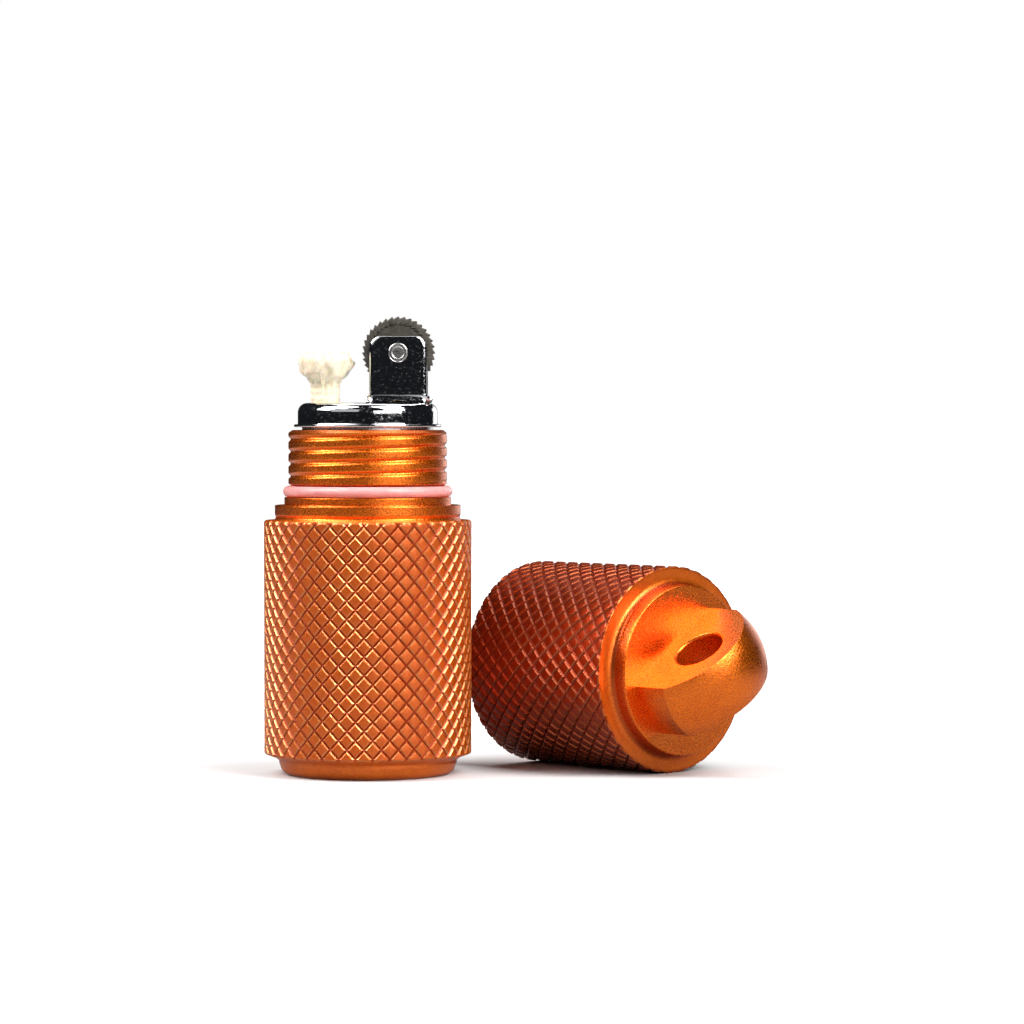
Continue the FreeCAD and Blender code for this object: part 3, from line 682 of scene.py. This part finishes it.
def makeBracket():
    """Flat blank with its outline and hole, folded up round the wheel's channel."""
    flat = bracket["inside"] - bracket["bend"]
    arc = bracket["bend"] * pi / 2
    foot = bracket["base"] + bracket["sheet"] + bracket["bend"]
    reach = flat + arc + bracket["top"] - foot
    right, flare, corner = bracket["right"], bracket["flare"], bracket["corner"]
    side = [(right + flare, 0), (right + flare, flat + arc * 0.3)]
    for step in range(1, 9):
        share = step / 8
        side.append((right + flare * (1 - sin(share * pi / 2)), flat + arc * 0.3 + 0.45 * (1 - cos(share * pi / 2))))
    side += [(right - corner * (1 - cos(a)), reach - corner * (1 - sin(a)))
             for a in (radians(9 * step) for step in range(11))]
    middle = (bracket["left"] + right) / 2
    quarter = side + [(2 * middle - x, s) for x, s in reversed(side)]
    outline = quarter + [(x, -s) for x, s in reversed(quarter[1:-1])]
    bm = bmesh.new()
    verts = [bm.verts.new((x, s, 0)) for x, s in outline]
    for pair in zip(verts, verts[1:] + verts[:1]):
        bm.edges.new(pair)
    made = bmesh.ops.create_circle(bm, segments=48, radius=bracket["drainHole"] - 0.25)
    bmesh.ops.translate(bm, verts=made["verts"], vec=(head["tube"][0], 0, 0))
    bmesh.ops.triangle_fill(bm, edges=bm.edges, use_beauty=True, normal=(0, 0, 1))
    face, round = list(bm.faces), bracket["edge"]
    for vert in bm.verts:
        vert.co.z = round / bracket["sheet"]
    for step in range(1, 7):
        before, angle = radians(15 * (step - 1)), radians(15 * step)
        bmesh.ops.inset_region(bm, faces=face, thickness=round * (cos(before) - cos(angle)), use_even_offset=True,
                               use_boundary=True)
        for vert in {v for f in face for v in f.verts}:
            vert.co.z = round * (1 - sin(angle)) / bracket["sheet"]
    bends = [flat - 0.1, flat + arc + 0.1] + [flat + arc * step / 8 for step in range(9)]
    for line in bends + [-b for b in bends]:
        bmesh.ops.bisect_plane(bm, geom=bm.verts[:] + bm.edges[:] + bm.faces[:], dist=1e-5,
                               plane_co=(0, line, 0), plane_no=(0, 1, 0))
    raised = bmesh.ops.extrude_face_region(bm, geom=bm.faces[:])["geom"]
    for vert in raised:
        if isinstance(vert, bmesh.types.BMVert):
            vert.co.z = 1
    for vert in bm.verts:
        out = bracket["sheet"] * (1 - vert.co.z)
        away = abs(vert.co.y)
        sign = 1 if vert.co.y > 0 else -1
        turn = min(max((away - flat) / arc, 0), 1) * pi / 2
        radius = bracket["bend"] + out
        y = min(away, flat) + radius * sin(turn)
        z = foot - radius * cos(turn) + max(0, away - flat - arc)
        vert.co.y, vert.co.z = sign * y, z
    bmesh.ops.recalc_face_normals(bm, faces=bm.faces)
    bevelEdges(bm, sharpEdges(bm, 60), bracket["innerEdge"], 2)
    finishPiece(bm, "foldedBracket", "insert", chrome, ["wheel_bracket"], sharpDegrees=30, flats=True)


# ---- spark wheel and its rivet

wheel = {
    "x": 3.3, "z": 44.6, "radius": 3.85, "tooth": 0.26, "teeth": 36, "half": 1.8, "edge": 0.3, "lean": 0.82,
    "dish": 0.14, "dishRadius": 2.7,
}
rivet = {"shank": 0.8, "head": 1.03, "face": 2.55, "rise": 0.22, "dish": 0.07}


def makeWheel():
    bm = bmesh.new()
    made = bmesh.ops.create_circle(bm, segments=2 * wheel["teeth"], radius=wheel["radius"], cap_ends=True)
    pace = 2 * pi / wheel["teeth"]
    order = sorted(made["verts"], key=lambda v: atan2(v.co.y, v.co.x))
    for index, vert in enumerate(order):
        tip = index % 2 == 0
        angle = (index // 2) * pace + (0 if tip else wheel["lean"] * pace)
        size = wheel["radius"] - (0 if tip else wheel["tooth"])
        vert.co = (size * cos(angle), size * sin(angle), -wheel["half"])
    raised = bmesh.ops.extrude_face_region(bm, geom=bm.faces[:])["geom"]
    bmesh.ops.translate(bm, verts=[v for v in raised if isinstance(v, bmesh.types.BMVert)],
                        vec=(0, 0, 2 * wheel["half"]))
    bmesh.ops.recalc_face_normals(bm, faces=bm.faces)
    rims = [e for e in bm.edges if abs(e.verts[0].co.z - e.verts[1].co.z) < 1e-6]
    bevelEdges(bm, rims, wheel["edge"], 3)
    faces = [f for f in bm.faces if abs(abs(f.calc_center_median().z) - wheel["half"]) < 1e-4 and len(f.verts) > 20]
    for face in faces:
        bmesh.ops.inset_region(bm, faces=[face], thickness=0.5)
        bmesh.ops.inset_region(bm, faces=[face], thickness=0.12, depth=-wheel["dish"])
    place = Matrix.Translation((wheel["x"], 0, wheel["z"])) @ Matrix.Rotation(radians(90), 4, "X")
    finishPiece(bm, "sparkWheel", "spark_wheel", wheelSteel, ["flint_wheel"], place, 25, flats=True)


def makeRivet():
    end = rivet["face"] + rivet["rise"]
    half = [
        (0, end - rivet["dish"]), (0.58, end - rivet["dish"]), (0.68, end), (0.92, end),
        (rivet["head"], end - 0.09), (rivet["head"], rivet["face"]), (rivet["shank"], rivet["face"]),
    ]
    bm = bmesh.new()
    spinOutline(bm, eased(half + [(r, -z) for r, z in reversed(half)], 0.05), 64)
    place = Matrix.Translation((wheel["x"], 0, wheel["z"])) @ Matrix.Rotation(radians(90), 4, "X")
    finishPiece(bm, "axleRivet", "insert", rivetSteel, ["wheel_axle"], place)


# ---- wick: braided stem, frayed head

wick = {
    "x": -4.5, "radius": 1.55, "low": 12.0, "neck": 41.5, "top": 44.6, "spread": 2.9, "plaits": 7, "lay": 1.5,
    "relief": 0.09, "fibres": 380, "fibre": 0.05, "wander": 0.05, "lumps": 0.22,
}


def lump(point):
    """How far the frayed end bulges at a point, as a share of its radius."""
    rise = min(1, max(0, (point.z - wick["neck"]) / 0.6))
    return wick["lumps"] * rise * noise.noise(point * 1.1 + Vector((3, 1, 4)))


def growFibres():
    """Loose strands that leave the stem and bend outwards, grown ring by ring all together."""
    strands = bmesh.new()
    number = strands.verts.layers.int.new("strand")
    paths = []
    for index in range(wick["fibres"]):
        angle, share = random.uniform(0, 2 * pi), sqrt(random.random())
        start = 1.42 * share
        end = (0.3 + 0.7 * share ** 1.3) * wick["spread"] * random.uniform(0.84, 1.04)
        low = wick["neck"] - 0.5 + random.uniform(-0.2, 0.3)
        top = wick["top"] - 1.3 * share ** 4 * random.random() + random.uniform(-0.15, 0.08)
        swirl, bow = random.uniform(-0.3, 0.3), random.uniform(1.2, 2.0)
        path = []
        for step in range(8):
            part = step / 7
            out = start + (end - start) * sin(part * pi / 2) ** bow
            turn = angle + swirl * part
            wander = Vector([random.uniform(-1, 1) * wick["wander"] * part for _ in range(3)])
            point = Vector((out * cos(turn), out * sin(turn), low + (top - low) * part ** 1.15)) + wander
            point.xy *= 1 + lump(point)
            path.append(point)
        paths.append(path)
        made = bmesh.ops.create_circle(strands, segments=4, radius=wick["fibre"], cap_ends=True)
        for vert in made["verts"]:
            vert[number] = index
            vert.co += path[0]
    loop = strands.edges[:]
    for step in range(1, 8):
        made = bmesh.ops.extrude_edge_only(strands, edges=loop)["geom"]
        moved = {item for item in made if isinstance(item, bmesh.types.BMVert)}
        for vert in moved:
            path = paths[vert[number]]
            vert.co += path[step] - path[step - 1]
        loop = [item for item in made if isinstance(item, bmesh.types.BMEdge)
                and item.verts[0] in moved and item.verts[1] in moved]
    bmesh.ops.holes_fill(strands, edges=loop, sides=4)
    return strands


def mergeInto(bm, other):
    draft = bpy.data.meshes.new("draft")
    other.to_mesh(draft)
    other.free()
    bm.from_mesh(draft)
    bpy.data.meshes.remove(draft)


def makeWick():
    random.seed(7)
    bm = bmesh.new()
    fine = [38.6 + 0.1 * row for row in range(29)]
    outline = [(0, wick["low"]), (wick["radius"], wick["low"])]
    outline += [(wick["radius"], wick["low"] + 1.2 * row) for row in range(1, 22)]
    outline += [(wick["radius"], z) for z in fine]
    outline += [(1.72, 41.75), (2.05, 42.0), (2.36, 42.25), (2.6, 42.6), (2.74, 43.0), (2.8, 43.5), (2.78, 43.9),
                (2.62, 44.2), (2.2, 44.42), (1.5, 44.52), (0.7, 44.55), (0, 44.55)]
    spinOutline(bm, outline, 84)
    for vert in bm.verts:
        size = vert.co.xy.length
        if size < 0.1:
            continue
        angle, height = atan2(vert.co.y, vert.co.x), vert.co.z
        if height < wick["neck"]:
            lay = 2 * pi * height / wick["lay"]
            plait = cos(wick["plaits"] * angle + lay) * cos(wick["plaits"] * angle - lay)
            vert.co.xy *= (wick["radius"] + wick["relief"] * plait - 0.06) / size
        else:
            vert.co.xy *= 1 + lump(vert.co) + random.uniform(-0.03, 0.03)
            vert.co.z += random.uniform(-0.05, 0.05)
    mergeInto(bm, growFibres())
    place = Matrix.Translation((wick["x"], 0, 0))
    finishPiece(bm, "frayedWick", "insert", cotton, ["wick"], place, 60)


# ---- packing: felt pad and wadding

packing = {"radius": 6.45, "edge": 0.25, "tube": (3.3, 0, 2.3), "wick": (-4.5, 0, 1.6), "ruffle": 0.05}


def makePacking(name, node, material):
    random.seed(node)
    low, high = boxMm(node)
    edge, radius = packing["edge"], packing["radius"] - packing["ruffle"]
    rows = [low.z + edge + (high.z - low.z - 2 * edge) * row / 6 for row in range(7)]
    bm = bmesh.new()
    spinOutline(bm, [(radius - edge, low.z), *((radius, z) for z in rows), (radius - edge, high.z)], 96)
    for vert in bm.verts:
        if low.z < vert.co.z < high.z:
            vert.co.xy *= 1 + random.uniform(-1, 1) * packing["ruffle"] / radius
    holes = [packing["tube"]] + ([packing["wick"]] if node != "felt_pad" else [])
    fillRing(bm, high.z, 1, holes)
    fillRing(bm, low.z, -1, holes)
    joinHoles(bm, holes)
    piece = finishPiece(bm, name, "insert", material, [node])


# ---- flint screw and spring

screw = {
    "head": 2.1, "headLow": 7.6, "headHigh": 8.95, "shank": 1.25, "shankTop": 14.0, "nose": 0.5, "noseTop": 16.0,
    "slotHalf": 0.25, "slotTop": 8.15, "pitch": 0.5, "threadDepth": 0.12, "threadGap": 0.19,
}
spring = {"mean": 0.86, "wire": 0.16, "low": 14.2, "pitch": 1.35, "lowTurns": 8, "highTurns": 7.18}


def makeScrew():
    bm = bmesh.new()
    top = eased([(0, screw["noseTop"]), (screw["nose"], screw["noseTop"]), (screw["nose"], screw["shankTop"]),
                 (screw["shank"], screw["shankTop"])], 0.1)
    rows = [Vector((screw["shank"], screw["shankTop"] - 0.06 * row)) for row in range(1, 82)]
    low = eased([rows[-1], (screw["shank"], screw["headHigh"]), (screw["head"], screw["headHigh"]),
                 (screw["head"], screw["headLow"] + 0.25), (screw["head"] - 0.25, screw["headLow"]),
                 (0, screw["headLow"])], 0.08)
    spinOutline(bm, top + rows + low[1:], 72)
    cutThread(bm, screw["headHigh"] + 0.15, screw["shankTop"] - 0.1, screw["shank"], screw["pitch"],
              screw["threadDepth"], screw["threadGap"], -1)
    half, slotTop = screw["slotHalf"], screw["slotTop"]
    for point, normal in (((0, half, 0), (0, 1, 0)), ((0, -half, 0), (0, 1, 0)), ((0, 0, slotTop), (0, 0, 1))):
        lowPart = [f for f in bm.faces if f.calc_center_median().z < screw["headHigh"] - 0.05]
        geom = lowPart + list({e for f in lowPart for e in f.edges}) + list({v for f in lowPart for v in f.verts})
        bmesh.ops.bisect_plane(bm, geom=geom, dist=1e-4, plane_co=point, plane_no=normal)
    inSlot = [f for f in bm.faces if abs(f.calc_center_median().y) < half - 1e-3
              and f.calc_center_median().z < slotTop - 1e-3]
    bmesh.ops.delete(bm, geom=inSlot, context="FACES")
    for side in (-half, half):
        wall = [e for e in bm.edges if e.is_boundary and all(abs(v.co.y - side) < 1e-3 for v in e.verts)]
        ends = sorted({v for e in wall for v in e.verts if abs(v.co.z - slotTop) < 1e-3}, key=lambda v: v.co.x)
        wall.append(bm.edges.new((ends[0], ends[-1])))
        bmesh.ops.contextual_create(bm, geom=wall)
    ledge = [e for e in bm.edges if e.is_boundary and all(abs(v.co.z - slotTop) < 1e-3 for v in e.verts)]
    bmesh.ops.contextual_create(bm, geom=ledge)
    place = Matrix.Translation((head["tube"][0], 0, 0))
    finishPiece(bm, "flintScrew", "screw", brass, ["flint_screw"], place)


def makeSpring(name, turns, first):
    """A run of coils of the feed spring; the spring is made as two runs, one above the other."""
    low = spring["low"] + first * spring["pitch"]
    high = low + turns * spring["pitch"]
    bm = bmesh.new()
    made = bmesh.ops.create_circle(bm, segments=8, radius=spring["wire"])
    place = Matrix.Translation((spring["mean"], 0, low)) @ Matrix.Rotation(radians(90), 4, "X")
    bmesh.ops.transform(bm, verts=made["verts"], matrix=place)
    steps = ceil(turns * 18)
    bmesh.ops.spin(bm, geom=bm.verts[:] + bm.edges[:], cent=(0, 0, 0), axis=(0, 0, 1), angle=2 * pi * turns,
                   dvec=(0, 0, (high - low) / steps), steps=steps)
    bmesh.ops.holes_fill(bm, edges=bm.edges, sides=8)
    shade(bm, 50)
    bm.transform(Matrix.Translation((head["tube"][0], 0, 0)))
    bm.transform(Matrix.Scale(1 / perMetre, 4))
    mesh = bpy.data.meshes.new(name)
    bm.to_mesh(mesh)
    bm.free()
    piece = bpy.data.objects.new(name, mesh)
    bpy.context.scene.collection.objects.link(piece)
    mesh.materials.append(springSteel)
    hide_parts("flint_spring")
    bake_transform(piece)


# ---- inner pieces that keep their machined shape

def coat(node, material):
    mesh = frame["nodes"][node].data
    mesh.materials.clear()
    mesh.materials.append(material)


makeTank()
makeCap()
makeRing()
makeHead()
makeSleeve()
makeBracket()
makeWheel()
makeRivet()
makeWick()
makePacking("feltPad", "felt_pad", felt)
for number in (1, 2, 3, 4):
    makePacking(f"waddingRoll{number}", f"wadding_{number}", wadding)
makeScrew()
makeSpring("feedSpringLow", spring["lowTurns"], 0)
makeSpring("feedSpringHigh", spring["highTurns"], spring["lowTurns"])
coat("flint_tube", brass)
coat("flint_plunger", brass)
coat("flint", flintAlloy)
coat("wick_wire", copper)

# ---- stage, lights and camera

stage = {
    "size": 4.0, "drop": 0.00001, "seen": 0.72, "near": 0.3, "far": 0.03, "centre": (0.014, 0, 0), "squash": (0.5, 1, 1),
    "litFrom": 0.07, "litTo": 0.3, "glow": ((0.0145, 0.0), (0.03, 0.35), (0.3, 1.0)),
    "surround": (0.010, 0.011, 0.013),
}

floorMesh = bpy.data.meshes.new("floor")
bm = bmesh.new()
bmesh.ops.create_grid(bm, x_segments=1, y_segments=1, size=stage["size"])
bmesh.ops.translate(bm, verts=bm.verts, vec=(0, 0, -stage["drop"]))
bm.to_mesh(floorMesh)
bm.free()
studioFloor = bpy.data.objects.new("studioFloor", floorMesh)
bpy.context.scene.collection.objects.link(studioFloor)
paper = bpy.data.materials.new("paper")
paper.use_nodes = True
paperNodes, paperLinks = paper.node_tree.nodes, paper.node_tree.links
paperShader = paperNodes["Principled BSDF"]
paperShader.inputs["Roughness"].default_value = 0.9
paperShader.inputs["Emission Color"].default_value = (1, 1, 1, 1)
seen = paperNodes.new("ShaderNodeLightPath").outputs["Is Camera Ray"]
shadeOfPaper = paperNodes.new("ShaderNodeMix")
shadeOfPaper.data_type = "RGBA"
shadeOfPaper.inputs["B"].default_value = (stage["seen"],) * 3 + (1,)
paperLinks.new(seen, shadeOfPaper.inputs["Factor"])
paperLinks.new(shadeOfPaper.outputs["Result"], paperShader.inputs["Base Color"])
spot = paperNodes.new("ShaderNodeTexCoord")
middle = paperNodes.new("ShaderNodeVectorMath")
middle.operation = "SUBTRACT"
middle.inputs[1].default_value = stage["centre"]
paperLinks.new(spot.outputs["Object"], middle.inputs[0])
oval = paperNodes.new("ShaderNodeVectorMath")
oval.operation = "MULTIPLY"
oval.inputs[1].default_value = stage["squash"]
paperLinks.new(middle.outputs["Vector"], oval.inputs[0])
away = paperNodes.new("ShaderNodeVectorMath")
away.operation = "LENGTH"
paperLinks.new(oval.outputs["Vector"], away.inputs[0])
reach = stage["glow"][-1][0]
fade = paperNodes.new("ShaderNodeMapRange")
fade.inputs["From Max"].default_value = reach
paperLinks.new(away.outputs["Value"], fade.inputs["Value"])
climb = paperNodes.new("ShaderNodeValToRGB")
for index, (distance, level) in enumerate(stage["glow"]):
    step = climb.color_ramp.elements[index] if index < 2 else climb.color_ramp.elements.new(1)
    step.position = distance / reach
    step.color = (level, level, level, 1)
paperLinks.new(fade.outputs["Result"], climb.inputs["Fac"])
glow = paperNodes.new("ShaderNodeMath")
glow.operation = "MULTIPLY"
paperLinks.new(seen, glow.inputs[0])
paperLinks.new(climb.outputs["Color"], glow.inputs[1])
lit = paperNodes.new("ShaderNodeMapRange")
lit.inputs["From Min"].default_value = stage["litFrom"]
lit.inputs["From Max"].default_value = stage["litTo"]
lit.inputs["To Min"].default_value = stage["near"]
lit.inputs["To Max"].default_value = stage["far"]
paperLinks.new(away.outputs["Value"], lit.inputs["Value"])
paperLinks.new(lit.outputs["Result"], shadeOfPaper.inputs["A"])
paperLinks.new(glow.outputs["Value"], paperShader.inputs["Emission Strength"])
floorMesh.materials.append(paper)

view = {"across": 0.0153, "back": 0.4, "high": 0.0375, "down": 1.397, "lens": 132.6}
cameraData = bpy.data.cameras.new("camera")
cameraData.lens = view["lens"]
cameraData.sensor_width = 36
camera = bpy.data.objects.new("camera", cameraData)
camera.location = (view["across"], -view["back"], view["high"])
camera.rotation_euler = (radians(90 - view["down"]), 0, 0)
cameraData.clip_start = 0.01
bpy.context.scene.collection.objects.link(camera)
bpy.context.scene.camera = camera


def softbox(name, azimuth, elevation, distance, size, power):
    """Area light aimed at the lighter; azimuth 0 is behind the camera and 90 is on the right."""
    data = bpy.data.lights.new(name, "AREA")
    data.shape = "RECTANGLE"
    data.size, data.size_y = size
    data.energy = power
    lamp = bpy.data.objects.new(name, data)
    a, e = radians(azimuth), radians(elevation)
    way = Vector((sin(a) * cos(e), -cos(a) * cos(e), sin(e)))
    lamp.location = Vector((0.01, 0, 0.025)) + way * distance
    lamp.rotation_euler = way.to_track_quat("Z", "Y").to_euler()
    bpy.context.scene.collection.objects.link(lamp)


softbox("leftBox", -80, 38, 0.6, (0.26, 0.32), 3.1)
softbox("overLeft", -64, 56, 0.6, (0.34, 0.32), 1.9)
softbox("rightBox", 52, 36, 0.6, (0.30, 0.32), 3.9)
softbox("overRight", 56, 60, 0.6, (0.34, 0.32), 1.8)
softbox("leftFill", -38, 24, 0.6, (0.50, 0.28), 0.22)
softbox("frontFill", 36, 12, 0.7, (0.60, 0.20), 1.05)
softbox("rightRear", 155, 4, 0.6, (0.3, 0.26), 0.3)
softbox("topBox", 176, 64, 0.7, (0.6, 0.4), 1.3)

world = bpy.data.worlds.new("studio")
world.use_nodes = True
bpy.context.scene.world = world
background = world.node_tree.nodes["Background"]
lightPath = world.node_tree.nodes.new("ShaderNodeLightPath")
mix = world.node_tree.nodes.new("ShaderNodeMix")
mix.data_type = "RGBA"
mix.inputs["A"].default_value = (*stage["surround"], 1)
mix.inputs["B"].default_value = (1, 1, 1, 1)
world.node_tree.links.new(lightPath.outputs["Is Camera Ray"], mix.inputs["Factor"])
world.node_tree.links.new(mix.outputs["Result"], background.inputs["Color"])
bpy.context.scene.view_settings.view_transform = "Standard"
